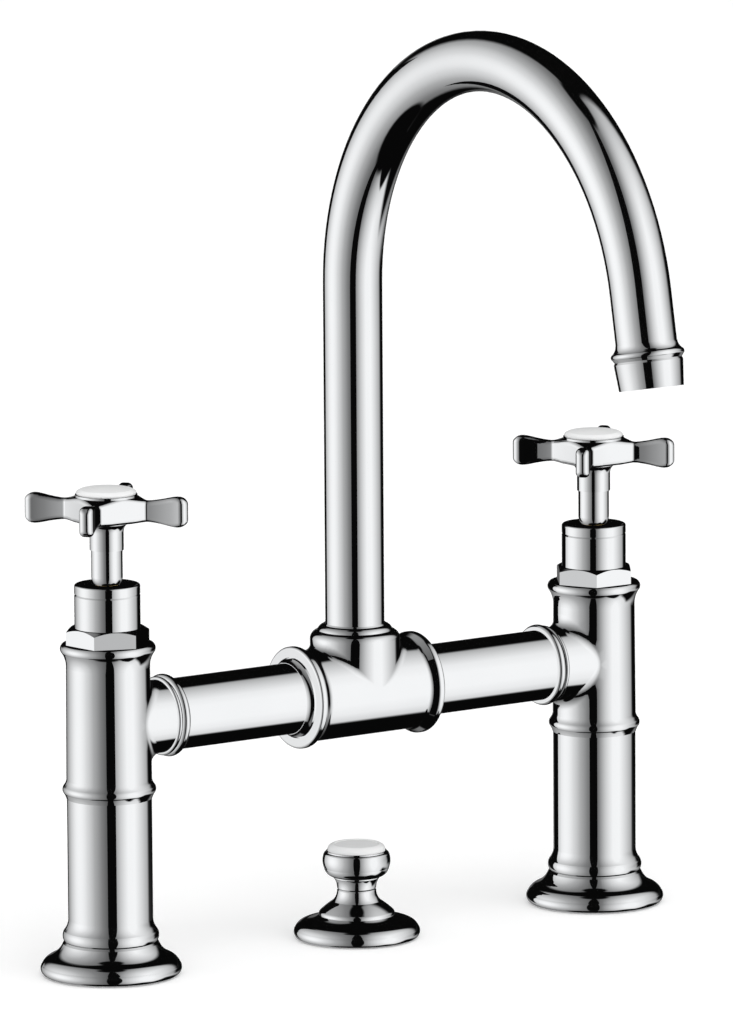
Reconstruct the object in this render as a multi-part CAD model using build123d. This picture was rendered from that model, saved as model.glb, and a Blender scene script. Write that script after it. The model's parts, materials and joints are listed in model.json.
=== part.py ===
from build123d import *
from math import atan2, cos, degrees, radians, sin, sqrt
import os

# Two-handle bridge basin mixer with a waste lift knob, in millimetres.
# Z is up from the deck, the user stands at -Y, hot is at -X and cold at +X.
# The origin is on the deck, where the axis of the spout and the pull rod meets it.

# Layout
PILLAR_SPACING = 200.0
BRIDGE_HEIGHT = 85.0
PILLAR_X = -PILLAR_SPACING / 2

# Base flange, sleeve and pillar body
FLANGE_RADIUS = 23.65
FLANGE_HEIGHT = 11.0
FLANGE_CAVITY_RADIUS = 19.2
FLANGE_CAVITY_HEIGHT = 4.0
SLEEVE_RADIUS = 14.2
SLEEVE_BORE = 12.6
SLEEVE_BEAD_RADIUS = 16.15
SLEEVE_BEAD_HEIGHT = 12.9
BODY_BOTTOM = 59.6
BODY_TOP = 111.8
MID_BEAD_RADIUS = 15.65
MID_BEAD_HEIGHT = 62.7
COLLAR_RADIUS = 15.95
COLLAR_HEIGHT = 110.2
BODY_TOP_RADIUS = 14.0

# Water ways in the pillar
TAIL_RADIUS = 12.0
TAIL_BOTTOM = 0.5
TAIL_THREAD_RADIUS = 10.5
TAIL_TOP = 71.0
INLET_THREAD_RADIUS = 9.32
INLET_THREAD_LENGTH = 15.0
TAIL_BORE = 7.0
WASHER_THICKNESS = 1.0
SEAT_HEIGHT = 76.0
SEAT_BORE = 5.0
CHAMBER_RADIUS = 9.9

# Bridge
TUBE_RADIUS = 12.0
TUBE_BORE = 10.4
TUBE_OUTER_END = 78.4
TUBE_INNER_END = 16.0
BOSS_RADIUS = 12.3
BOSS_FILLET = 4.5
BOSS_BORE = 7.8
BOSS_BEAD_RADIUS = 13.9
BOSS_RING_RADIUS = 13.3
BOSS_END = 75.9
SPIGOT_END = 68.4
SPIGOT_RADIUS = 10.3
BRIDGE_RING_SECTION = 1.5
PILLAR_RING_X = 72.0
TEE_RING_X = 19.6

# Tee
TEE_RADIUS = 15.5
TEE_FLANGE_RADIUS = 17.35
TEE_FLANGE_BACK = 23.4
TEE_FLANGE_EDGE = 0.9
TEE_END = 25.4
TEE_FILLET = 3.5
TEE_CHANNEL_RADIUS = 7.5
TEE_SOCKET_RADIUS = 12.05
NECK_RADIUS = 15.25
NECK_SHOULDER = 103.2
NECK_STEP = 105.7
NECK_TOP = 108.3
TRIM_RADIUS = 13.3
TRIM_SHOULDER = 26.1
TRIM_END = 28.0
TRIM_RECESS = 22.6
TRIM_GAP = 0.4
TRIM_GAP_DEPTH = 1.2

# Spout
SPOUT_RADIUS = 10.0
SPOUT_BORE = 8.8
SPOUT_FOOT = 104.2
SPOUT_BEND_HEIGHT = 224.5
SPOUT_BEND_RADIUS = 82.6
SPOUT_BEND_ANGLE = 169.1
SPOUT_LEG = 18.9
SPIGOT_FOOT = 93.0
SPIGOT_HEAD = 116.0
SPIGOT_BORE = 6.5
SPOUT_SOCKET_RADIUS = 10.05
SPOUT_SOCKET_FLOOR = 92.7
SPOUT_RING_HEIGHTS = (94.8, 97.4)
SPOUT_RING_SECTION = 1.4
STOP_HEIGHT = 101.0
STOP_SCREW_RADIUS = 1.5
STOP_TIP_RADIUS = 1.2
STOP_TIP_Y = 8.9
STOP_GROOVE_RADIUS = 8.5
STOP_SWING = 60.0
GLIDE_RADIUS = 11.3

# Outlet, measured along its own axis from the end of the bend
OUTLET_START = 16.4
OUTLET_COLLAR = 20.1
OUTLET_GROOVE = 21.9
OUTLET_END = 31.2
OUTLET_COLLAR_RADIUS = 12.0
OUTLET_GROOVE_RADIUS = 10.95
OUTLET_TOP_RADIUS = 11.3
OUTLET_END_RADIUS = 10.55
AERATOR_RADIUS = 9.2
AERATOR_SLOTS = 12
SLOT_LENGTH = 3.4
SLOT_WIDTH = 1.4
SLOT_CIRCLE = 5.6
SCREEN_HOLE_RADIUS = 0.7
SCREEN_HOLES = ((6, 2.6), (12, 5.2), (16, 7.4))

# Valve
CARTRIDGE_FOOT = 78.0
CARTRIDGE_RADIUS = 8.4
CARTRIDGE_BORE = 7.0
CARTRIDGE_THREAD_LOW = 97.0
CARTRIDGE_FLANGE_RADIUS = 11.6
CARTRIDGE_FLANGE_TOP = 113.4
CARTRIDGE_NECK_RADIUS = 8.0
CARTRIDGE_TOP = 124.0
GLAND_LOW = 103.0
GLAND_CLEARANCE = 0.06
DISC_RADIUS = 6.9
DISC_THICKNESS = 3.4
DISC_GAP = 0.05
PORT_OUTER_RADIUS = 5.7
PORT_INNER_RADIUS = 2.0
TANG_WIDTH = 3.0
TANG_LENGTH = 9.0
TANG_DEPTH = 1.0
WINDOW_LOW = 86.0
WINDOW_HIGH = 93.0
WINDOW_WIDTH = 8.0
SPINDLE_RADIUS = 3.9
SPINDLE_TOP = 153.0
SPINDLE_RING_HEIGHT = 114.0
SPINDLE_RING_THICKNESS = 1.6

# Bonnet
NUT_FLATS = 24.5
NUT_TOP = 117.4
NUT_CHAMFER_DROP = 1.3
BONNET_RADIUS = 11.0
BONNET_BORE = 9.6
BONNET_TOP = 132.0
BONNET_RECESS = 0.1
BONNET_RECESS_RADIUS = 10.2
BONNET_FLOOR = 1.5
BONNET_GROOVE_HEIGHT = 128.7
BONNET_GROOVE_WIDTH = 1.0
BONNET_GROOVE_DEPTH = 0.35

# Handle
STEM_RADIUS = 5.25
STEM_FOOT = 131.93
HUB_NECK_RADIUS = 5.68
HUB_NECK_FOOT = 143.6
HANDLE_HEIGHT = 157.0
ARM_WAIST = 14.0
ARM_MIDDLE = 19.5
ARM_TIP = 25.2
WAIST_HALF_WIDTH = 1.8
MIDDLE_HALF_WIDTH = 1.75
TIP_HALF_WIDTH = 2.35
WAIST_HALF_HEIGHT = 3.6
TIP_HALF_HEIGHT = 5.1
HUB_SIDE = 10.95
WAIST_FILLET = 1.6
ARM_FILLET = 1.6
BEZEL_RADIUS = 10.4
BEZEL_TOP = 162.3
CAP_RADIUS = 10.05
CAP_TOP = 164.4
CAP_DOME_RADIUS = 90.0
CAP_STUB_RADIUS = 5.0
SCREW_RADIUS = 1.9
SCREW_HEAD_RADIUS = 3.5

# Waste lift knob
ROSETTE_RADIUS = 21.5
ROSETTE_TOP = 16.3
KNOB_GAP = 0.05
KNOB_NECK_RADIUS = 6.65
KNOB_HEAD_RADIUS = 11.55
KNOB_TOP = 29.6
KNOB_CAP_RADIUS = 9.85
KNOB_CAP_TOP = 31.9
ROD_RADIUS = 2.5
ROD_CLEARANCE = 0.06
ROD_FOOT = 0.0
ROD_TOP = 24.0
ROD_THREAD_RADIUS = 1.65
ROD_THREAD_LENGTH = 8.0

# Each side: its turn about the spout axis, and how its nut and cross handle stand
SIDES = {
    "hot": {"turn": 0.0, "nut": -21.9, "arms": -48.2},
    "cold": {"turn": 180.0, "nut": -1.9, "arms": -44.3},
}


def turned(start, *moves):
    """Solid turned about Z; a move is an end point, or the middle and end points of an arc."""
    edges = []
    here = Vector(start[0], 0, start[1])
    for move in moves + (start,):
        is_arc = isinstance(move[0], tuple)
        points = [Vector(radius, 0, height) for radius, height in (move if is_arc else (move,))]
        edges.append(ThreePointArc(here, *points) if is_arc else Line(here, *points))
        here = points[-1]
    return revolve(make_face(Wire(edges)), Axis.Z)


def ring(outer, inner, low, high):
    """Plain ring about Z."""
    return turned((inner, low), (outer, low), (outer, high), (inner, high))


def rod(radius, low, high):
    """Plain cylinder about Z."""
    return Pos(0, 0, (low + high) / 2) * Cylinder(radius, high - low)


def along_x(solid):
    """A solid made about Z, laid along the bridge so that its height becomes X."""
    return Pos(0, 0, BRIDGE_HEIGHT) * Rot(0, 90, 0) * solid


def o_ring(outer, section, height):
    """Round-section ring about Z."""
    return Pos(0, 0, height) * Torus(outer - section / 2, section / 2)


def base_flange():
    """Bell on the deck, hollow below for its seal."""
    rim = FLANGE_RADIUS
    return turned(
        (FLANGE_CAVITY_RADIUS, 0),
        (rim - 0.9, 0),
        ((rim, 1.5), (rim - 0.45, 3.2)),
        ((rim - 1.4, 4.6), (rim - 3.4, 5.9)),
        ((rim - 5.8, 7.6), (16.1, 10.3)),
        (15.5, FLANGE_HEIGHT),
        (TAIL_RADIUS + 0.2, FLANGE_HEIGHT),
        (TAIL_RADIUS + 0.2, FLANGE_CAVITY_HEIGHT),
        (FLANGE_CAVITY_RADIUS, FLANGE_CAVITY_HEIGHT),
    )


def base_seal():
    return ring(FLANGE_CAVITY_RADIUS, TAIL_RADIUS + 0.2, 0, FLANGE_CAVITY_HEIGHT)


def lower_sleeve():
    """Lower pillar tube with a bead at its foot."""
    bead = SLEEVE_BEAD_RADIUS
    return turned(
        (SLEEVE_BORE, FLANGE_HEIGHT),
        (bead - 0.75, FLANGE_HEIGHT),
        (bead - 0.3, FLANGE_HEIGHT + 0.5),
        ((bead, SLEEVE_BEAD_HEIGHT), (bead - 0.45, SLEEVE_BEAD_HEIGHT + 1.7)),
        ((14.8, 16.0), (SLEEVE_RADIUS, 18.4)),
        (SLEEVE_RADIUS, BODY_BOTTOM),
        (SLEEVE_BORE, BODY_BOTTOM),
    )


def tail_connector():
    """Brass tail: threaded socket at the deck, thread into the body at the top."""
    step = BODY_BOTTOM - 1.0
    return turned(
        (INLET_THREAD_RADIUS, TAIL_BOTTOM),
        (TAIL_RADIUS, TAIL_BOTTOM),
        (TAIL_RADIUS, step),
        (TAIL_THREAD_RADIUS, step),
        (TAIL_THREAD_RADIUS, TAIL_TOP),
        (TAIL_BORE, TAIL_TOP),
        (TAIL_BORE, TAIL_BOTTOM + INLET_THREAD_LENGTH + 2),
        (INLET_THREAD_RADIUS, TAIL_BOTTOM + INLET_THREAD_LENGTH),
    )


def tail_washer():
    return ring(TAIL_THREAD_RADIUS, TAIL_BORE, TAIL_TOP, TAIL_TOP + WASHER_THICKNESS)


def body_outline():
    """Upper pillar from the mid bead to the top collar, still solid."""
    bead = MID_BEAD_RADIUS
    low = SLEEVE_RADIUS + 0.1
    collar = COLLAR_RADIUS
    return turned(
        (0, BODY_BOTTOM),
        (low + 0.05, BODY_BOTTOM),
        ((low + 0.4, BODY_BOTTOM + 0.9), (bead - 0.5, MID_BEAD_HEIGHT - 1.3)),
        ((bead, MID_BEAD_HEIGHT), (bead - 0.5, MID_BEAD_HEIGHT + 1.3)),
        ((low + 0.3, MID_BEAD_HEIGHT + 2.2), (low, MID_BEAD_HEIGHT + 3.2)),
        (BODY_TOP_RADIUS, COLLAR_HEIGHT - 6.0),
        ((BODY_TOP_RADIUS + 0.35, COLLAR_HEIGHT - 3.6), (collar - 0.5, COLLAR_HEIGHT - 1.2)),
        ((collar, COLLAR_HEIGHT), (collar - 0.7, BODY_TOP)),
        (0, BODY_TOP),
    )


def boss_cylinder():
    """Side boss before its ring, reaching from the pillar axis."""
    return along_x(rod(BOSS_RADIUS, 0, -PILLAR_X - TUBE_OUTER_END))


def boss_ring():
    """Ring and bead at the end of the side boss, and the spigot inside the tube."""
    start = -PILLAR_X - TUBE_OUTER_END
    end = -PILLAR_X - BOSS_END
    tip = -PILLAR_X - SPIGOT_END
    beads = turned(
        (SPIGOT_RADIUS, start - 2.0),
        (BOSS_RADIUS, start - 2.0),
        ((BOSS_RING_RADIUS, start - 1.3), (BOSS_RING_RADIUS - 0.3, start - 0.6)),
        (BOSS_RING_RADIUS - 0.5, start - 0.3),
        ((BOSS_BEAD_RADIUS, start + 1.0), (BOSS_BEAD_RADIUS - 0.7, end)),
        (TUBE_RADIUS, end),
        (TUBE_RADIUS, start),
        (SPIGOT_RADIUS, start),
    )
    spigot = rod(SPIGOT_RADIUS, start - 1.0, tip)
    groove_x = -PILLAR_X - PILLAR_RING_X
    groove = ring(
        SPIGOT_RADIUS + 1.0,
        TUBE_BORE - BRIDGE_RING_SECTION,
        groove_x - BRIDGE_RING_SECTION * 0.6,
        groove_x + BRIDGE_RING_SECTION * 0.6,
    )
    return along_x(beads + spigot - groove)


def pillar_body():
    """Casting with the mid bead, the side boss and the top collar."""
    shell = body_outline() + boss_cylinder()
    seams = [
        edge
        for edge in shell.edges()
        if edge.center().X > 5 and abs(edge.center().X - edge.bounding_box().max.X) > 0.01
    ]
    shell = fillet(seams, BOSS_FILLET)
    tip = -PILLAR_X - SPIGOT_END
    socket = rod(TAIL_THREAD_RADIUS, BODY_BOTTOM - 1, TAIL_TOP + WASHER_THICKNESS)
    seat = rod(SEAT_BORE, TAIL_TOP, SEAT_HEIGHT + 1)
    chamber = rod(CHAMBER_RADIUS, SEAT_HEIGHT, BODY_TOP + 1)
    channel = along_x(rod(BOSS_BORE, 0, tip + 1))
    return shell + boss_ring() - socket - seat - chamber - channel


def seat_ring():
    return ring(CARTRIDGE_BORE, SEAT_BORE, SEAT_HEIGHT, CARTRIDGE_FOOT + 1.0)


def disc_ports():
    """Two opposite quarter openings of a ceramic disc."""
    port = ring(PORT_OUTER_RADIUS, PORT_INNER_RADIUS, SEAT_HEIGHT, WINDOW_LOW)
    quarter = Pos(5, 5, SEAT_HEIGHT) * Box(9, 9, 40)
    return [port & (Rot(0, 0, turn) * quarter) for turn in (0, 180)]


def fixed_disc():
    low = CARTRIDGE_FOOT + 1.0
    disc = rod(DISC_RADIUS + 0.1, low, low + DISC_THICKNESS)
    for port in disc_ports():
        disc = disc - port
    return disc


def turning_disc():
    low = CARTRIDGE_FOOT + 1.0 + DISC_THICKNESS + DISC_GAP
    disc = rod(DISC_RADIUS, low, low + DISC_THICKNESS)
    for port in disc_ports():
        disc = disc - Rot(0, 0, 90) * port
    return disc - drive_tang()


def drive_tang():
    """Flat tang below the spindle, in the slot of the turning disc."""
    top = CARTRIDGE_FOOT + 1.0 + 2 * DISC_THICKNESS + DISC_GAP
    return Pos(0, 0, top - TANG_DEPTH / 2) * Box(TANG_WIDTH, TANG_LENGTH, TANG_DEPTH)


def cartridge_body():
    """Valve housing, screwed into the pillar body from above."""
    housing = turned(
        (CARTRIDGE_BORE, CARTRIDGE_FOOT),
        (CARTRIDGE_RADIUS, CARTRIDGE_FOOT),
        (CARTRIDGE_RADIUS, CARTRIDGE_THREAD_LOW),
        (CHAMBER_RADIUS, CARTRIDGE_THREAD_LOW + 1),
        (CHAMBER_RADIUS, BODY_TOP),
        (CARTRIDGE_FLANGE_RADIUS, BODY_TOP),
        (CARTRIDGE_FLANGE_RADIUS, CARTRIDGE_FLANGE_TOP),
        (CARTRIDGE_NECK_RADIUS, CARTRIDGE_FLANGE_TOP),
        (CARTRIDGE_NECK_RADIUS, CARTRIDGE_TOP),
        (SPINDLE_RADIUS + GLAND_CLEARANCE, CARTRIDGE_TOP),
        (SPINDLE_RADIUS + GLAND_CLEARANCE, GLAND_LOW),
        (CARTRIDGE_BORE, GLAND_LOW),
    )
    window = Pos(0, 0, (WINDOW_LOW + WINDOW_HIGH) / 2) * Box(40, WINDOW_WIDTH, WINDOW_HIGH - WINDOW_LOW)
    return housing - window


def spindle():
    """Stem of the valve with its drive flange, thrust collar and O-ring groove."""
    disc_top = CARTRIDGE_FOOT + 1.0 + 2 * DISC_THICKNESS + DISC_GAP
    stem = turned(
        (0, disc_top),
        (DISC_RADIUS - 0.7, disc_top),
        (DISC_RADIUS - 0.7, disc_top + 1.2),
        (3.2, disc_top + 1.6),
        (3.2, GLAND_LOW - 4.0),
        (6.2, GLAND_LOW - 3.2),
        (6.2, GLAND_LOW - 0.1),
        (SPINDLE_RADIUS, GLAND_LOW - 0.1),
        (SPINDLE_RADIUS, SPINDLE_TOP),
        (0, SPINDLE_TOP),
    )
    half = SPINDLE_RING_THICKNESS / 2
    groove = ring(5.0, SPINDLE_RADIUS - 1.0, SPINDLE_RING_HEIGHT - half, SPINDLE_RING_HEIGHT + half)
    tapped = rod(SCREW_RADIUS, SPINDLE_TOP - 9.0, SPINDLE_TOP + 1)
    return stem + drive_tang() - groove - tapped


def spindle_ring():
    half = SPINDLE_RING_THICKNESS / 2
    return ring(SPINDLE_RADIUS, SPINDLE_RADIUS - 1.0, SPINDLE_RING_HEIGHT - half, SPINDLE_RING_HEIGHT + half)


def bonnet_nut(turn):
    """Hexagon nut with chamfered corners, over the flange of the cartridge."""
    prism = Pos(0, 0, BODY_TOP) * extrude(
        RegularPolygon(NUT_FLATS / sqrt(3), 6, rotation=turn), NUT_TOP - BODY_TOP
    )
    corner = NUT_FLATS / sqrt(3)
    cone = turned(
        (0, BODY_TOP),
        (corner + 0.1, BODY_TOP),
        (corner + 0.1, NUT_TOP - NUT_CHAMFER_DROP),
        (NUT_FLATS / 2, NUT_TOP),
        (0, NUT_TOP),
    )
    recess = rod(CARTRIDGE_FLANGE_RADIUS, BODY_TOP - 1, CARTRIDGE_FLANGE_TOP)
    bore = rod(CARTRIDGE_NECK_RADIUS, BODY_TOP - 1, NUT_TOP + 1)
    return (prism & cone) - recess - bore


def bonnet_sleeve():
    """Round sleeve over the top of the cartridge, with a shallow recess round the stem."""
    floor_top = BONNET_TOP - BONNET_RECESS
    floor_low = floor_top - BONNET_FLOOR
    thread_top = NUT_TOP + 5.0
    shell = turned(
        (CARTRIDGE_NECK_RADIUS, NUT_TOP),
        (BONNET_RADIUS, NUT_TOP),
        (BONNET_RADIUS, BONNET_TOP - 0.7),
        ((BONNET_RADIUS - 0.2, BONNET_TOP - 0.2), (BONNET_RADIUS - 0.7, BONNET_TOP)),
        (BONNET_RECESS_RADIUS, BONNET_TOP),
        (BONNET_RECESS_RADIUS - 0.3, floor_top),
        (SPINDLE_RADIUS + 0.3, floor_top),
        (SPINDLE_RADIUS + 0.3, floor_low),
        (BONNET_BORE, floor_low),
        (BONNET_BORE, thread_top),
        (CARTRIDGE_NECK_RADIUS, thread_top),
    )
    depth = BONNET_GROOVE_DEPTH
    half = BONNET_GROOVE_WIDTH / 2
    middle = BONNET_GROOVE_HEIGHT
    groove = turned(
        (BONNET_RADIUS - depth, middle),
        (BONNET_RADIUS, middle - half),
        (BONNET_RADIUS + 1, middle - half),
        (BONNET_RADIUS + 1, middle + half / 2),
        (BONNET_RADIUS - depth, middle + half / 2),
    )
    return shell - groove


def stem_sleeve():
    """Turning sleeve round the spindle between the bonnet and the handle."""
    return turned(
        (SPINDLE_RADIUS, STEM_FOOT),
        (STEM_RADIUS - 1.1, STEM_FOOT),
        ((STEM_RADIUS - 0.35, STEM_FOOT + 1.1), (STEM_RADIUS, STEM_FOOT + 2.4)),
        (STEM_RADIUS, HUB_NECK_FOOT),
        (SPINDLE_RADIUS, HUB_NECK_FOOT),
    )


def cross_plan():
    """Plan of the cross: a square hub with hollow sides and four arms with swelling ends."""
    edges = []
    for turn in (0, 90, 180, 270):
        waist = Vector(ARM_WAIST, -WAIST_HALF_WIDTH).rotate(Axis.Z, turn)
        middle = Vector(ARM_MIDDLE, -MIDDLE_HALF_WIDTH).rotate(Axis.Z, turn)
        tip = Vector(ARM_TIP, -TIP_HALF_WIDTH).rotate(Axis.Z, turn)
        far_tip = Vector(ARM_TIP, TIP_HALF_WIDTH).rotate(Axis.Z, turn)
        far_middle = Vector(ARM_MIDDLE, MIDDLE_HALF_WIDTH).rotate(Axis.Z, turn)
        far_waist = Vector(ARM_WAIST, WAIST_HALF_WIDTH).rotate(Axis.Z, turn)
        hub_side = Vector(HUB_SIDE, 0).rotate(Axis.Z, turn + 45)
        side = ThreePointArc(waist, middle, tip)
        edges.append(side)
        edges.append(TangentArc(tip, far_tip, tangent=side % 1))
        edges.append(ThreePointArc(far_tip, far_middle, far_waist))
        edges.append(ThreePointArc(far_waist, hub_side, waist.rotate(Axis.Z, 90)))
    plan = make_face(Wire(edges))
    waists = [corner for corner in plan.vertices() if Vector(corner.X, corner.Y).length < ARM_MIDDLE]
    return fillet(waists, WAIST_FILLET)


def cross_height():
    """Turned block whose height at each radius is the height of the cross there."""
    waist = WAIST_HALF_HEIGHT
    tip = TIP_HALF_HEIGHT
    arm = [
        (ARM_WAIST, waist),
        (ARM_WAIST + 2.5, waist + 0.2),
        (ARM_MIDDLE, waist + 0.7),
        (ARM_MIDDLE + 3.0, tip - 0.2),
        (ARM_TIP - 0.9, tip),
        (ARM_TIP + 0.8, tip - 0.25),
        (ARM_TIP + 2.0, tip - 1.0),
        (ARM_TIP + 2.9, tip - 2.2),
    ]
    skirt = [(BEZEL_RADIUS, waist + 1.0), (BEZEL_RADIUS + 1.6, waist + 0.35)]
    hub = [(BEZEL_RADIUS, waist + 0.3), (BEZEL_RADIUS + 1.6, waist + 0.15)]
    top = [Vector(radius, 0, HANDLE_HEIGHT + half) for radius, half in skirt + arm]
    bottom = [Vector(radius, 0, HANDLE_HEIGHT - half) for radius, half in hub + arm]
    upper = Spline(*top)
    lower = Spline(*bottom)
    inside = Polyline(bottom[0], (0, 0, bottom[0].Z), (0, 0, top[0].Z), top[0])
    outline = make_face(Wire([upper, Line(top[-1], bottom[-1]), lower] + inside.edges()))
    return Rot(0, 0, 45) * revolve(outline, Axis.Z)


def rounded_arms():
    """The four arms and the hub, with all their upper and lower edges rounded."""
    height = 2 * TIP_HALF_HEIGHT + 2
    plate = Pos(0, 0, HANDLE_HEIGHT - height / 2) * extrude(cross_plan(), height)
    arms = plate & cross_height()
    rims = []
    for edge in arms.edges():
        middle = edge.position_at(0.5)
        upright = abs(edge.tangent_at(0.5).Z) > 0.7
        if not upright and Vector(middle.X, middle.Y).length > BEZEL_RADIUS + 0.2:
            rims.append(edge)
    return fillet(rims, ARM_FILLET)


def handle_cross(turn):
    """Cross handle with its round neck, screw bore and the bezel of the cap."""
    low = HANDLE_HEIGHT - WAIST_HALF_HEIGHT - 1.0
    cross = rounded_arms()
    bezel = ring(BEZEL_RADIUS, 1.0, HANDLE_HEIGHT, BEZEL_TOP)
    neck = turned(
        (1.0, HUB_NECK_FOOT),
        (HUB_NECK_RADIUS, HUB_NECK_FOOT),
        (HUB_NECK_RADIUS, low - 3.0),
        ((HUB_NECK_RADIUS + 0.4, low - 1.2), (HUB_NECK_RADIUS + 1.6, low + 0.1)),
        (HUB_NECK_RADIUS + 1.6, HANDLE_HEIGHT),
        (1.0, HANDLE_HEIGHT),
    )
    shaft_bore = rod(SPINDLE_RADIUS, HUB_NECK_FOOT - 1, SPINDLE_TOP)
    screw_bore = rod(SCREW_RADIUS + 0.2, HUB_NECK_FOOT, BEZEL_TOP + 1)
    head_bore = rod(CAP_STUB_RADIUS, SPINDLE_TOP + 2.5, BEZEL_TOP + 1)
    return Rot(0, 0, turn) * (cross + bezel + neck - shaft_bore - screw_bore - head_bore)


def handle_screw():
    head_low = SPINDLE_TOP + 2.5
    shank = rod(SCREW_RADIUS, SPINDLE_TOP - 8.0, head_low + 0.5)
    head = rod(SCREW_HEAD_RADIUS, head_low, head_low + 2.2)
    slot = Pos(0, 0, head_low + 2.2) * Box(0.9, 2 * SCREW_HEAD_RADIUS + 1, 1.8)
    return shank + head - slot


def handle_cap():
    """White ceramic disc with a shallow dome and a stub that fits the hub."""
    edge = CAP_RADIUS
    disc = turned(
        (0, BEZEL_TOP - 2.5),
        (CAP_STUB_RADIUS, BEZEL_TOP - 2.5),
        (CAP_STUB_RADIUS, BEZEL_TOP),
        (edge - 0.2, BEZEL_TOP),
        ((edge, BEZEL_TOP + 0.5), (edge - 0.35, BEZEL_TOP + 1.1)),
        ((edge - 0.9, BEZEL_TOP + 1.45), (edge - 2.2, BEZEL_TOP + 1.85)),
        (edge - 2.4, CAP_TOP),
        (0, CAP_TOP),
    )
    return disc & Pos(0, 0, CAP_TOP - CAP_DOME_RADIUS) * Sphere(CAP_DOME_RADIUS)


def bridge_tube():
    return along_x(ring(TUBE_RADIUS, TUBE_BORE, -TUBE_OUTER_END, -TUBE_INNER_END))


def bridge_rings():
    """The O-ring on the spigot of the pillar and the one round the tube in the tee."""
    section = BRIDGE_RING_SECTION
    inside = o_ring(TUBE_BORE, section, -PILLAR_RING_X)
    outside = o_ring(TUBE_RADIUS + section, section, -TEE_RING_X)
    return along_x(Compound(children=[inside, outside]))


def trim_ring():
    """Thin ring round the tube at the mouth of the tee."""
    return along_x(
        turned(
            (TUBE_RADIUS, -TRIM_END),
            (TUBE_RADIUS + 0.15, -TRIM_END),
            ((TUBE_RADIUS + 0.5, -TRIM_END + 1.0), (TRIM_RADIUS - 0.2, -TRIM_SHOULDER)),
            (TRIM_RADIUS, -TRIM_SHOULDER + 0.25),
            (TRIM_RADIUS, -TRIM_RECESS),
            (TUBE_RADIUS, -TRIM_RECESS),
        )
    )


def tee_barrel():
    """Horizontal part of the tee with its two end flanges, still solid."""
    flange = TEE_FLANGE_RADIUS
    edge = TEE_FLANGE_EDGE
    half = along_x(
        turned(
            (0, 0),
            (TEE_RADIUS, 0),
            (TEE_RADIUS, TEE_FLANGE_BACK - 3.8),
            ((TEE_RADIUS + 0.12, TEE_FLANGE_BACK - 2.9), (TEE_RADIUS + 0.5, TEE_FLANGE_BACK - 2.1)),
            (flange - 0.35, TEE_FLANGE_BACK - 0.6),
            ((flange - 0.06, TEE_FLANGE_BACK - 0.1), (flange, TEE_FLANGE_BACK + 0.5)),
            (flange, TEE_END - edge),
            ((flange - 0.29 * edge, TEE_END - 0.29 * edge), (flange - edge, TEE_END)),
            (0, TEE_END),
        )
    )
    return half + Rot(0, 0, 180) * half


def tee_neck():
    """Upright neck with its stepped dome, still solid."""
    step = NECK_STEP
    return turned(
        (0, BRIDGE_HEIGHT),
        (NECK_RADIUS, BRIDGE_HEIGHT),
        (NECK_RADIUS, NECK_SHOULDER),
        ((NECK_RADIUS - 0.65, NECK_SHOULDER + 1.5), (13.1, step)),
        (12.75, step + 0.2),
        ((12.2, step + 1.2), (SPOUT_RADIUS + 0.7, NECK_TOP - 0.5)),
        (SPOUT_RADIUS + 0.3, NECK_TOP),
        (0, NECK_TOP),
    )


def tee_body():
    """Tee casting with the tube sockets, the spout socket and the stop screw hole."""
    shell = tee_barrel() + tee_neck()
    seams = shell.edges().filter_by(GeomType.BSPLINE)
    shell = fillet(seams, TEE_FILLET)
    channel = along_x(rod(TEE_CHANNEL_RADIUS, -TEE_END, TEE_END))
    sockets = [along_x(rod(TEE_SOCKET_RADIUS, TUBE_INNER_END, TEE_END + 1))]
    sockets.append(along_x(rod(TEE_SOCKET_RADIUS, -TEE_END - 1, -TUBE_INNER_END)))
    half = BRIDGE_RING_SECTION * 0.6
    outer = TUBE_RADIUS + BRIDGE_RING_SECTION
    for x in (-TEE_RING_X, TEE_RING_X):
        sockets.append(along_x(rod(outer, x - half, x + half)))
    for side in (-1, 1):
        low, high = sorted((side * TRIM_RECESS, side * (TEE_END + 1)))
        sockets.append(along_x(rod(TRIM_RADIUS, low, high)))
        low, high = sorted((side * (TEE_END - TRIM_GAP_DEPTH), side * (TEE_END + 1)))
        sockets.append(along_x(rod(TRIM_RADIUS + TRIM_GAP, low, high)))
    riser = rod(SPIGOT_BORE, BRIDGE_HEIGHT, SPOUT_SOCKET_FLOOR)
    spout_socket = rod(SPOUT_SOCKET_RADIUS, SPOUT_SOCKET_FLOOR, SPOUT_FOOT)
    glide_socket = rod(GLIDE_RADIUS, SPOUT_FOOT, NECK_TOP - 1.1)
    mouth = rod(SPOUT_RADIUS + 0.3, SPOUT_FOOT, NECK_TOP + 1)
    screw_hole = along_y(rod(STOP_SCREW_RADIUS, SPOUT_SOCKET_RADIUS - 1, NECK_RADIUS + 2))
    shell = shell - channel - riser - spout_socket - glide_socket - mouth - screw_hole
    for socket in sockets:
        shell = shell - socket
    return shell


def along_y(solid):
    """A solid made about Z, laid towards +Y at the height of the stop screw."""
    return Pos(0, 0, STOP_HEIGHT) * Rot(-90, 0, 0) * solid


def spout_glide_ring():
    return ring(GLIDE_RADIUS, SPOUT_RADIUS + 0.06, SPOUT_FOOT + 0.1, NECK_TOP - 1.1)


def spout_stop_screw():
    """Grub screw in the back of the tee, its tip in the groove of the spigot."""
    shank = rod(STOP_SCREW_RADIUS, SPOUT_SOCKET_RADIUS + 0.05, NECK_RADIUS - 0.4)
    tip = rod(STOP_TIP_RADIUS, STOP_TIP_Y, SPOUT_SOCKET_RADIUS + 1)
    hexagon = Pos(0, 0, NECK_RADIUS - 1.4) * extrude(RegularPolygon(0.85, 6), 2)
    return along_y(shank + tip - hexagon)


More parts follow.
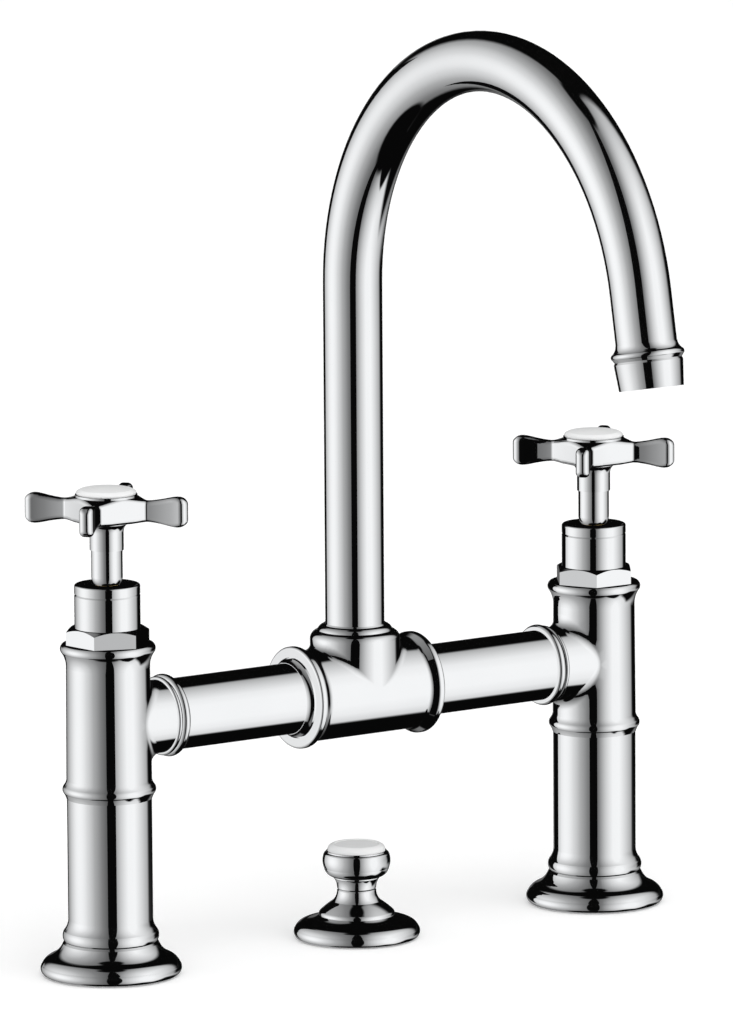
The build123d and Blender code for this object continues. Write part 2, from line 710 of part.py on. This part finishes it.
def stop_groove():
    """Part ring in the back of the spigot, as long as the swing and the tip of the screw."""
    margin = degrees(atan2(STOP_TIP_RADIUS + 0.15, STOP_GROOVE_RADIUS))
    half_angle = STOP_SWING + margin
    half_height = STOP_TIP_RADIUS + 0.2
    outline = make_face(
        Polyline(
            (STOP_GROOVE_RADIUS, 0, STOP_HEIGHT - half_height),
            (SPOUT_RADIUS + 1, 0, STOP_HEIGHT - half_height),
            (SPOUT_RADIUS + 1, 0, STOP_HEIGHT + half_height),
            (STOP_GROOVE_RADIUS, 0, STOP_HEIGHT + half_height),
            close=True,
        )
    )
    return Rot(0, 0, 90 - half_angle) * revolve(outline, Axis.Z, 2 * half_angle)


def spout_spigot():
    """Brass foot of the spout with two O-ring grooves and the stop groove."""
    foot = turned(
        (SPIGOT_BORE, SPIGOT_FOOT),
        (SPOUT_RADIUS - 0.4, SPIGOT_FOOT),
        (SPOUT_RADIUS, SPIGOT_FOOT + 0.4),
        (SPOUT_RADIUS, SPOUT_FOOT),
        (SPOUT_BORE, SPOUT_FOOT),
        (SPOUT_BORE, SPIGOT_HEAD),
        (SPIGOT_BORE, SPIGOT_HEAD),
    )
    for height in SPOUT_RING_HEIGHTS:
        half = SPOUT_RING_SECTION / 2
        foot = foot - ring(SPOUT_RADIUS + 1, SPOUT_RADIUS - SPOUT_RING_SECTION, height - half, height + half)
    return foot - stop_groove()


def spout_rings():
    rings = [o_ring(SPOUT_RADIUS, SPOUT_RING_SECTION, height) for height in SPOUT_RING_HEIGHTS]
    return Compound(children=rings)


def bend_end():
    """Point at the end of the bend and the unit vector in which the spout runs on."""
    turn = radians(SPOUT_BEND_ANGLE)
    reach = SPOUT_BEND_RADIUS * (1 - cos(turn))
    point = Vector(0, -reach, SPOUT_BEND_HEIGHT + SPOUT_BEND_RADIUS * sin(turn))
    return point, Vector(0, -sin(turn), cos(turn))


def spout_tube():
    """Riser, bend and short leg as one tube."""
    annulus = Circle(SPOUT_RADIUS) - Circle(SPOUT_BORE)
    riser = Pos(0, 0, SPOUT_FOOT) * extrude(annulus, SPOUT_BEND_HEIGHT - SPOUT_FOOT)
    centre = (0, -SPOUT_BEND_RADIUS, SPOUT_BEND_HEIGHT)
    bend_axis = Axis(centre, (1, 0, 0))
    bend = revolve(Pos(0, 0, SPOUT_BEND_HEIGHT) * annulus, bend_axis, SPOUT_BEND_ANGLE)
    point, direction = bend_end()
    leg = Plane(point, x_dir=(1, 0, 0), z_dir=direction) * extrude(annulus, SPOUT_LEG)
    return riser + bend + leg


def on_outlet(solid):
    """A solid made about Z, moved to the end of the bend and along the outlet."""
    point, direction = bend_end()
    return Plane(point, x_dir=(1, 0, 0), z_dir=direction) * solid


def outlet_sleeve():
    """Flared collar and sleeve on the end of the spout, hollow for the aerator."""
    shoulder = SPOUT_LEG
    return on_outlet(
        turned(
            (SPOUT_RADIUS, OUTLET_START),
            (SPOUT_RADIUS + 0.1, OUTLET_START),
            ((10.6, 18.1), (OUTLET_COLLAR_RADIUS - 0.3, OUTLET_COLLAR - 0.8)),
            ((OUTLET_COLLAR_RADIUS, OUTLET_COLLAR), (OUTLET_COLLAR_RADIUS - 0.35, OUTLET_COLLAR + 0.8)),
            (OUTLET_GROOVE_RADIUS, OUTLET_GROOVE),
            (OUTLET_TOP_RADIUS, OUTLET_GROOVE + 0.7),
            (OUTLET_END_RADIUS, OUTLET_END),
            (AERATOR_RADIUS, OUTLET_END),
            (AERATOR_RADIUS, shoulder + 2.0),
            (8.0, shoulder + 1.2),
            (8.0, shoulder),
            (SPOUT_RADIUS, shoulder),
        )
    )


def aerator_seal():
    low = SPOUT_LEG + 2.0
    return on_outlet(ring(AERATOR_RADIUS, 7.6, low, low + 1.2))


def aerator_insert():
    """Plastic flow straightener with a ring of slots."""
    low = SPOUT_LEG + 3.2
    body = rod(AERATOR_RADIUS, low, OUTLET_END - 1.6)
    for k in range(AERATOR_SLOTS):
        slot = Pos(SLOT_CIRCLE, 0, low) * Box(SLOT_LENGTH, SLOT_WIDTH, 30)
        body = body - Rot(0, 0, 360 / AERATOR_SLOTS * k) * slot
    return on_outlet(body)


def aerator_screen():
    """Fine outlet screen with round holes."""
    screen = rod(AERATOR_RADIUS, OUTLET_END - 1.6, OUTLET_END - 0.8)
    for count, circle in SCREEN_HOLES:
        hole = Pos(circle, 0, OUTLET_END - 1.2) * Cylinder(SCREEN_HOLE_RADIUS, 2)
        for k in range(count):
            screen = screen - Rot(0, 0, 360 / count * k) * hole
    return on_outlet(screen)


def waste_rosette():
    """Bell on the deck round the pull rod, with a step ring and a slim neck."""
    rim = ROSETTE_RADIUS
    return turned(
        (16.5, 0),
        (rim - 0.7, 0),
        ((rim, 1.6), (rim - 0.4, 3.0)),
        ((rim - 1.3, 4.3), (rim - 4.4, 5.5)),
        ((15.0, 6.2), (12.9, 7.5)),
        ((12.85, 8.25), (12.4, 8.9)),
        ((10.3, 10.7), (8.2, 12.2)),
        ((7.1, 13.8), (KNOB_NECK_RADIUS, ROSETTE_TOP - 0.4)),
        (KNOB_NECK_RADIUS - 0.25, ROSETTE_TOP),
        (ROD_RADIUS + ROD_CLEARANCE, ROSETTE_TOP),
        (ROD_RADIUS + ROD_CLEARANCE, 3.0),
        (16.5, 3.0),
    )


def rosette_seal():
    return ring(16.5, 6.0, 0, 3.0)


def lift_knob():
    """Knob with a waisted neck, a round head and a recess for its cap."""
    low = ROSETTE_TOP + KNOB_GAP
    head = KNOB_HEAD_RADIUS
    return turned(
        (0, low),
        (KNOB_NECK_RADIUS - 0.25, low),
        (KNOB_NECK_RADIUS, low + 0.4),
        ((KNOB_NECK_RADIUS + 0.25, low + 2.0), (7.6, low + 3.6)),
        (7.85, low + 3.9),
        (7.85, low + 4.3),
        ((10.2, 21.9), (head - 0.45, 23.8)),
        ((head, 26.2), (head - 0.35, 28.3)),
        ((head - 0.65, 28.85), (head - 1.15, KNOB_TOP - 0.45)),
        (KNOB_CAP_RADIUS + 0.45, KNOB_TOP - 0.45),
        (KNOB_CAP_RADIUS + 0.35, KNOB_TOP),
        (KNOB_CAP_RADIUS, KNOB_TOP),
        (KNOB_CAP_RADIUS - 0.2, KNOB_TOP - 0.6),
        (0, KNOB_TOP - 0.6),
    ) - rod(ROD_RADIUS, low - 1, ROD_TOP)


def knob_cap():
    """White ceramic disc with a shallow recess in its face."""
    low = KNOB_TOP - 0.6
    edge = KNOB_CAP_RADIUS
    top = KNOB_CAP_TOP
    return turned(
        (0, low),
        (edge - 0.2, low),
        (edge, low + 0.6),
        (edge, low + 1.0),
        ((edge - 0.3, low + 1.9), (edge - 1.1, top - 0.3)),
        ((edge - 1.5, top - 0.08), (edge - 2.0, top)),
        (7.7, top),
        ((7.45, top - 0.1), (7.3, top - 0.3)),
        (0, top - 0.3),
    )


def pull_rod():
    shaft = rod(ROD_RADIUS, ROD_FOOT, ROD_TOP)
    return shaft - rod(ROD_THREAD_RADIUS, ROD_FOOT - 1, ROD_FOOT + ROD_THREAD_LENGTH)


def side_nodes(side):
    """All pieces of one side, as nodes named after it."""
    place = Rot(0, 0, side["turn"]) * Pos(PILLAR_X, 0, 0)
    nut_turn = side["nut"] - side["turn"]
    arm_turn = side["arms"] - side["turn"]
    upright = {
        "base_flange": base_flange(),
        "base_seal": base_seal(),
        "lower_sleeve": lower_sleeve(),
        "tail_connector": tail_connector(),
        "tail_washer": tail_washer(),
        "pillar_body": pillar_body(),
        "seat_ring": seat_ring(),
        "cartridge_body": cartridge_body(),
        "fixed_disc": fixed_disc(),
        "turning_disc": turning_disc(),
        "spindle": spindle(),
        "spindle_ring": spindle_ring(),
        "bonnet_nut": bonnet_nut(nut_turn),
        "bonnet_sleeve": bonnet_sleeve(),
        "stem_sleeve": stem_sleeve(),
        "handle_cross": handle_cross(arm_turn),
        "handle_cap": handle_cap(),
        "handle_screw": handle_screw(),
    }
    lying = {
        "bridge_tube": bridge_tube(),
        "bridge_rings": bridge_rings(),
        "trim_ring": trim_ring(),
    }
    nodes = {name: place * solid for name, solid in upright.items()}
    nodes.update({name: Rot(0, 0, side["turn"]) * solid for name, solid in lying.items()})
    return nodes


def centre_nodes():
    """Tee, spout and waste lift knob."""
    return {
        "tee_body": tee_body(),
        "spout_glide_ring": spout_glide_ring(),
        "spout_stop_screw": spout_stop_screw(),
        "spout_spigot": spout_spigot(),
        "spout_rings": spout_rings(),
        "spout_tube": spout_tube(),
        "outlet_sleeve": outlet_sleeve(),
        "aerator_seal": aerator_seal(),
        "aerator_insert": aerator_insert(),
        "aerator_screen": aerator_screen(),
        "waste_rosette": waste_rosette(),
        "rosette_seal": rosette_seal(),
        "lift_knob": lift_knob(),
        "knob_cap": knob_cap(),
        "pull_rod": pull_rod(),
    }


def all_nodes():
    nodes = {}
    for prefix, side in SIDES.items():
        nodes.update({f"{prefix}_{name}": solid for name, solid in side_nodes(side).items()})
    nodes.update(centre_nodes())
    return nodes


os.makedirs("parts", exist_ok=True)
for node, solid in all_nodes().items():
    export_step(solid, f"parts/{node}.step")
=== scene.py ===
import json
from math import cos, radians, sin, tan

import bpy
from mathutils import Matrix, Vector

# Studio scene of a two-handle bridge basin mixer in polished chrome with white ceramic discs.
# Metres, Z up from the deck. The user and the spout's outlet are at -Y, hot is at -X.

# Camera, as fitted to the photograph, with angles in degrees
CAMERA_AZIMUTH = -34.707
CAMERA_ELEVATION = 9.605
CAMERA_ROLL = -0.375
CAMERA_DISTANCE = 3.4355
CAMERA_TARGET = (0.0051, 0.0, 0.1455)
FIELD_OF_VIEW_LONG_SIDE = 5.769
SENSOR = 36.0
CLIP_START = 0.1
CLIP_END = 100.0

# Floor, just below the undersides of the pieces
FLOOR_HALF = 30.0
FLOOR_DEPTH = 0.0006
FLOOR_GREYS = (0.93, 0.95)
FLOOR_SPECKLE = 40.0
FLOOR_ROUGHNESS = 0.5
FLOOR_LIFT = 0.155

# Lamps: name, place and side length; all shine at the bridge with the same power
LAMP_POWER = 6.5
LAMP_AIM = (0.0, 0.0, 0.1)
LAMPS = (
    ("key", (-1.2, -1.4, 2.2), 2.0),
    ("fill", (1.5, -0.8, 2.0), 2.0),
    ("front", (0.1, -1.7, 2.1), 2.5),
)

# World: plain light on everything, and a studio that only reflections see. The studio stands square
# to the photograph's view, and stays there in other views. A direction in it is a unit vector with
# the parts right, away and up. A height is the up part alone, and an azimuth is an angle in radians
# that goes from straight away to the right. Greys are screen values.
DIFFUSE_LIGHT = 0.85
REFLECTION_STRENGTH = 1.06
DARKEST = 0.03

# Soft boxes: how far to the side, and the grey seen there
LEFT_BOX = ((0.0, 0.3), (0.34, 0.5), (0.64, 0.68), (0.87, 0.86), (1.0, 0.99))
RIGHT_BOX = ((0.0, 0.3), (0.17, 0.47), (0.5, 0.81), (0.77, 0.97), (1.0, 0.98))
MIDDLE_BLUR = 0.01

# The right box gets dimmer from this part away on, most of all at the horizon
DIM_START = -0.3
DIM_RATE = 0.8
DIM_EASE = 0.8

# Heights between which the boxes reach, and the azimuths where their foot is higher
LIGHT_TOP = 0.975
TOP_BLUR = 0.01
LIGHT_FOOT = -0.91
FOOT_BLUR = 0.02
RAISED_FOOT = -0.79
RAISED_RANGE = (0.8, 2.0)
RAISED_BLUR = 0.25

# Dark areas behind: the range of azimuth, then the range of height
DARK_BEHIND = (
    ((-0.6, 0.75), (0.09, 1.1)),
    ((0.26, 0.92), (-0.25, 0.12)),
    ((-0.3, 1.3), (-0.95, -0.42)),
)
SIDE_BLUR = 0.12
HEIGHT_BLUR = 0.07

# Black boards: two corners as (right, away) from the origin, then the low and high edges
BOARDS = (
    ("front_board", (-0.165, -0.9), (0.2, -0.9), -2.0, 6.0),
    ("back_board", (-0.254, 0.267), (-0.458, 2.074), -0.2, 0.42),
)
BOARD_SPECKLE = 20.0
BOARD_VARIATION = 1.3

# Noise of the surfaces, and the part of its range that holds nearly all of it
SPECKLE_RANGE = (0.3, 0.7)
SPECKLE_DETAIL = 3.0
BUMP_DETAIL = 2.0
BUMP_DISTANCE = 0.0001
FINER_ROUGHNESS = 2.7

# White, and the sockets of the Mix node that hold colours
WHITE = (1.0, 1.0, 1.0, 1.0)
FIRST_COLOUR = 6
SECOND_COLOUR = 7
MIXED_COLOUR = 2


def link(obj):
    bpy.context.scene.collection.objects.link(obj)
    return obj


def display(grey):
    """Scene-linear value of a grey as it is seen on screen."""
    return grey / 12.92 if grey <= 0.04045 else ((grey + 0.055) / 1.055) ** 2.4


class Graph:
    """Small helper that adds shader nodes and links them."""

    def __init__(self, tree):
        self.tree = tree
        self.tree.nodes.clear()

    def node(self, kind, inputs=None, **settings):
        made = self.tree.nodes.new(kind)
        for name, value in settings.items():
            setattr(made, name, value)
        for name, value in (inputs or {}).items():
            self.plug(value, made.inputs[name])
        return made

    def plug(self, value, socket):
        if isinstance(value, bpy.types.NodeSocket):
            self.tree.links.new(value, socket)
        else:
            socket.default_value = value

    def math(self, operation, first, second=0.0, clamp=False):
        made = self.node("ShaderNodeMath", {0: first, 1: second}, operation=operation, use_clamp=clamp)
        return made.outputs[0]

    def times(self, first, second):
        return self.math("MULTIPLY", first, second)

    def remainder(self, value):
        """What the value leaves of 1, and never below 0."""
        return self.math("SUBTRACT", 1.0, value, clamp=True)

    def mix(self, factor, first, second):
        """Shader that goes from the first to the second as the factor goes from 0 to 1."""
        return self.node("ShaderNodeMixShader", {0: factor, 1: first.outputs[0], 2: second.outputs[0]})

    def mix_colours(self, factor, first, second):
        """Colour that goes from the first to the second as the factor goes from 0 to 1."""
        inputs = {"Factor": factor, FIRST_COLOUR: (*first, 1.0), SECOND_COLOUR: (*second, 1.0)}
        return self.node("ShaderNodeMix", inputs, data_type="RGBA").outputs[MIXED_COLOUR]

    def light(self, strength):
        """Plain white background of the given strength."""
        return self.node("ShaderNodeBackground", {"Color": WHITE, "Strength": strength})

    def ramp(self, value, stops):
        """Colour ramp with stops of (position, grey)."""
        made = self.node("ShaderNodeValToRGB", {0: value})
        points = made.color_ramp.elements
        while len(points) < len(stops):
            points.new(0.5)
        for point, (position, grey) in zip(points, stops):
            point.position = position
            point.color = (grey, grey, grey, 1.0)
        return made.outputs[0]

    def step(self, value, middle, blur, rise=True):
        """Smooth step from 0 to 1 that spans the blur on both sides of the middle, or from 1 to 0."""
        start, end = (0.0, 1.0) if rise else (1.0, 0.0)
        made = self.node(
            "ShaderNodeMapRange",
            {
                "Value": value,
                "From Min": middle - blur,
                "From Max": middle + blur,
                "To Min": start,
                "To Max": end,
            },
            interpolation_type="SMOOTHSTEP",
        )
        return made.outputs[0]

    def band(self, value, low, high, blur):
        """1 between low and high, 0 outside, with both edges blurred."""
        return self.times(self.step(value, low, blur), self.step(value, high, blur, rise=False))

    def speckle(self, scale, detail=SPECKLE_DETAIL):
        """Noise that is fixed to the object."""
        place = self.node("ShaderNodeTexCoord").outputs["Object"]
        noise = self.node("ShaderNodeTexNoise", {"Vector": place, "Scale": scale, "Detail": detail})
        return noise.outputs["Fac"]

    def speckled(self, scale, greys):
        """Grey that the noise varies between two values."""
        return self.ramp(self.speckle(scale), list(zip(SPECKLE_RANGE, greys)))


def make_camera():
    azimuth = radians(CAMERA_AZIMUTH)
    elevation = radians(CAMERA_ELEVATION)
    back = Vector((sin(azimuth) * cos(elevation), -cos(azimuth) * cos(elevation), sin(elevation)))
    data = bpy.data.cameras.new("camera")
    data.sensor_width = SENSOR
    data.lens = SENSOR / 2 / tan(radians(FIELD_OF_VIEW_LONG_SIDE) / 2)
    data.clip_start = CLIP_START
    data.clip_end = CLIP_END
    camera = link(bpy.data.objects.new("camera", data))
    place = Matrix.Translation(Vector(CAMERA_TARGET) + back * CAMERA_DISTANCE)
    level = back.to_track_quat("Z", "Y").to_matrix().to_4x4()
    roll = Matrix.Rotation(radians(CAMERA_ROLL), 4, "Z")
    camera.matrix_world = place @ level @ roll
    bpy.context.scene.camera = camera


def studio_direction(graph):
    """Right, away and up parts of the direction that a ray looks in."""
    direction = graph.node("ShaderNodeTexCoord").outputs["Generated"]
    turned = graph.node(
        "ShaderNodeVectorRotate",
        {"Vector": direction, "Angle": radians(-CAMERA_AZIMUTH)},
        rotation_type="Z_AXIS",
    )
    parts = graph.node("ShaderNodeSeparateXYZ", {0: turned.outputs[0]}).outputs
    return parts["X"], parts["Y"], parts["Z"]


def soft_box(graph, sideways, stops):
    return graph.ramp(sideways, [(place, display(grey)) for place, grey in stops])


def dimming(graph, away, up):
    """Share of its light that the right box keeps."""
    behind = graph.math("MAXIMUM", graph.math("SUBTRACT", away, DIM_START), 0.0)
    level = graph.remainder(graph.times(graph.math("ABSOLUTE", up), DIM_EASE))
    return graph.remainder(graph.times(graph.times(behind, level), DIM_RATE))


def soft_boxes(graph, right, away, up):
    """Light of the two boxes, which meet straight ahead and straight behind."""
    left_box = soft_box(graph, graph.times(right, -1.0), LEFT_BOX)
    left_box = graph.times(left_box, graph.step(right, 0.0, MIDDLE_BLUR, rise=False))
    right_box = graph.times(soft_box(graph, right, RIGHT_BOX), dimming(graph, away, up))
    right_box = graph.times(right_box, graph.step(right, 0.0, MIDDLE_BLUR))
    return graph.math("ADD", left_box, right_box)


def trim_ends(graph, boxes, azimuth, up):
    """The boxes with the dark above and below them."""
    raised = graph.times(graph.band(azimuth, *RAISED_RANGE, RAISED_BLUR), RAISED_FOOT - LIGHT_FOOT)
    height = graph.math("SUBTRACT", up, raised)
    boxes = graph.times(boxes, graph.step(height, LIGHT_FOOT, FOOT_BLUR))
    return graph.times(boxes, graph.step(up, LIGHT_TOP, TOP_BLUR, rise=False))


def darken_behind(graph, boxes, azimuth, up):
    for azimuths, heights in DARK_BEHIND:
        sideways = graph.band(azimuth, *azimuths, SIDE_BLUR)
        patch = graph.times(sideways, graph.band(up, *heights, HEIGHT_BLUR))
        boxes = graph.times(boxes, graph.remainder(patch))
    return boxes


def make_world():
    """White for the camera, plain light on everything, and the studio for reflections."""
    world = bpy.data.worlds.new("studio")
    bpy.context.scene.world = world
    world.use_nodes = True
    graph = Graph(world.node_tree)
    right, away, up = studio_direction(graph)
    azimuth = graph.math("ARCTAN2", right, away)
    boxes = soft_boxes(graph, right, away, up)
    boxes = trim_ends(graph, boxes, azimuth, up)
    boxes = darken_behind(graph, boxes, azimuth, up)
    seen = graph.math("MAXIMUM", boxes, display(DARKEST))
    studio = graph.node("ShaderNodeBackground", {"Color": seen, "Strength": REFLECTION_STRENGTH})
    rays = graph.node("ShaderNodeLightPath").outputs
    lit = graph.mix(rays["Is Glossy Ray"], graph.light(DIFFUSE_LIGHT), studio)
    shown = graph.mix(rays["Is Camera Ray"], lit, graph.light(1.0))
    graph.node("ShaderNodeOutputWorld", {"Surface": shown.outputs[0]})


def surface(name, build):
    """New material whose node graph is made by build, which returns the shader node."""
    material = bpy.data.materials.new(name)
    material.use_nodes = True
    graph = Graph(material.node_tree)
    shader = build(graph)
    graph.node("ShaderNodeOutputMaterial", {"Surface": shader.outputs[0]})
    return material


def black_board(graph):
    """Black cloth that looks like the darkest part of the studio."""
    dark = display(DARKEST)
    cloth = graph.speckled(BOARD_SPECKLE, (dark, dark * BOARD_VARIATION))
    return graph.node("ShaderNodeEmission", {"Color": cloth, "Strength": 1.0})


def floor_paper(graph):
    """White paper that keeps a soft shadow; reflections look through it at the studio."""
    rays = graph.node("ShaderNodeLightPath").outputs
    colour = graph.speckled(FLOOR_SPECKLE, FLOOR_GREYS)
    paper = graph.node("ShaderNodeBsdfDiffuse", {"Color": colour, "Roughness": FLOOR_ROUGHNESS})
    # A little light of its own lifts the paper to white for the camera
    lift = graph.times(rays["Is Camera Ray"], FLOOR_LIFT)
    glow = graph.node("ShaderNodeEmission", {"Color": WHITE, "Strength": lift})
    lifted = graph.node("ShaderNodeAddShader", {0: paper.outputs[0], 1: glow.outputs[0]})
    clear = graph.node("ShaderNodeBsdfTransparent")
    return graph.mix(rays["Is Glossy Ray"], lifted, clear)


def principled(graph, dark, light, scale, roughness, metal, bump_scale, bump, specular=0.5):
    """Surface with faint colour variation, uneven roughness and a fine bump."""
    smooth, rough = roughness
    colour = graph.mix_colours(graph.speckle(scale), dark, light)
    uneven = graph.node(
        "ShaderNodeMapRange",
        {"Value": graph.speckle(scale * FINER_ROUGHNESS), "To Min": smooth, "To Max": rough},
    )
    relief = graph.node(
        "ShaderNodeBump",
        {"Height": graph.speckle(bump_scale, BUMP_DETAIL), "Strength": bump, "Distance": BUMP_DISTANCE},
    )
    inputs = {
        "Base Color": colour,
        "Roughness": uneven.outputs[0],
        "Normal": relief.outputs[0],
        "Metallic": metal,
        "Specular IOR Level": specular,
    }
    return graph.node("ShaderNodeBsdfPrincipled", inputs)


def chrome(graph):
    return principled(
        graph,
        dark=(0.88, 0.893, 0.905),
        light=(0.915, 0.925, 0.935),
        scale=60.0,
        roughness=(0.02, 0.045),
        metal=1.0,
        bump_scale=300.0,
        bump=0.015,
    )


def brass(graph):
    return principled(
        graph,
        dark=(0.55, 0.38, 0.13),
        light=(0.68, 0.49, 0.2),
        scale=90.0,
        roughness=(0.25, 0.4),
        metal=1.0,
        bump_scale=900.0,
        bump=0.25,
    )


def steel(graph):
    return principled(
        graph,
        dark=(0.42, 0.42, 0.42),
        light=(0.55, 0.55, 0.56),
        scale=150.0,
        roughness=(0.2, 0.35),
        metal=1.0,
        bump_scale=1500.0,
        bump=0.2,
    )


def rubber(graph):
    return principled(
        graph,
        dark=(0.012, 0.012, 0.013),
        light=(0.025, 0.025, 0.026),
        scale=200.0,
        roughness=(0.55, 0.75),
        metal=0.0,
        bump_scale=1200.0,
        bump=0.4,
    )


def plastic(graph):
    return principled(
        graph,
        dark=(0.5, 0.5, 0.48),
        light=(0.58, 0.58, 0.56),
        scale=120.0,
        roughness=(0.35, 0.5),
        metal=0.0,
        bump_scale=900.0,
        bump=0.2,
    )


def valve_ceramic(graph):
    return principled(
        graph,
        dark=(0.7, 0.68, 0.62),
        light=(0.78, 0.76, 0.7),
        scale=150.0,
        roughness=(0.1, 0.18),
        metal=0.0,
        bump_scale=700.0,
        bump=0.05,
    )


def white_ceramic(graph):
    return principled(
        graph,
        dark=(0.9, 0.905, 0.905),
        light=(0.94, 0.945, 0.945),
        scale=90.0,
        roughness=(0.2, 0.3),
        metal=0.0,
        bump_scale=500.0,
        bump=0.03,
        specular=0.12,
    )


def flat_sheet(name, corners, material):
    """One flat face with four corners."""
    mesh = bpy.data.meshes.new(name)
    mesh.from_pydata(corners, [], [(0, 1, 2, 3)])
    mesh.materials.append(material)
    return link(bpy.data.objects.new(name, mesh))


def make_boards():
    """Upright black boards that only reflections see, one in front and one behind on the left."""
    material = surface("black_board", black_board)
    turn = Matrix.Rotation(radians(CAMERA_AZIMUTH), 4, "Z")
    for name, start, end, low, high in BOARDS:
        corners = [(*start, low), (*end, low), (*end, high), (*start, high)]
        board = flat_sheet(name, [turn @ Vector(corner) for corner in corners], material)
        board.visible_camera = False
        board.visible_diffuse = False
        board.visible_shadow = False


def make_floor():
    signs = ((-1, -1), (1, -1), (1, 1), (-1, 1))
    corners = [(x * FLOOR_HALF, y * FLOOR_HALF, -FLOOR_DEPTH) for x, y in signs]
    flat_sheet("floor", corners, surface("floor", floor_paper))


def make_lamps():
    """Large soft lamps from above, hidden from reflections."""
    for name, place, size in LAMPS:
        data = bpy.data.lights.new(name, "AREA")
        data.energy = LAMP_POWER
        data.size = size
        lamp = link(bpy.data.objects.new(name, data))
        lamp.location = place
        lamp.rotation_mode = "QUATERNION"
        lamp.rotation_quaternion = (Vector(place) - Vector(LAMP_AIM)).to_track_quat("Z", "Y")
        lamp.visible_glossy = False


def paint_frame(frame):
    """Gives every CAD node the material of its slot, and keeps the nodes out of reflections."""
    builders = {
        "chrome": chrome,
        "brass": brass,
        "steel": steel,
        "rubber": rubber,
        "plastic": plastic,
        "valve_ceramic": valve_ceramic,
        "white_ceramic": white_ceramic,
    }
    materials = {slot: surface(slot, build) for slot, build in builders.items()}
    for part in frame["record"]["subparts"]:
        node = frame["nodes"][part["node"]]
        node.data.materials.clear()
        node.data.materials.append(materials[part["material_slot"]])
        node.visible_glossy = False


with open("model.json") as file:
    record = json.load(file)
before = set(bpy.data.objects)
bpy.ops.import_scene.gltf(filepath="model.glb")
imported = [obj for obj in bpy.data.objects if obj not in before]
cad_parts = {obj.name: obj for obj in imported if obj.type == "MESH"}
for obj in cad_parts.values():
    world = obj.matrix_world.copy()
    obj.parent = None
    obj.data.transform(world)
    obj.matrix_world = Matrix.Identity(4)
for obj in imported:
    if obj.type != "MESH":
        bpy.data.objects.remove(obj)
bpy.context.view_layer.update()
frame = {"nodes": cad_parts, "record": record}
bpy.context.scene.view_settings.view_transform = "Standard"
make_camera()
make_world()
make_boards()
make_floor()
make_lamps()
paint_frame(frame)
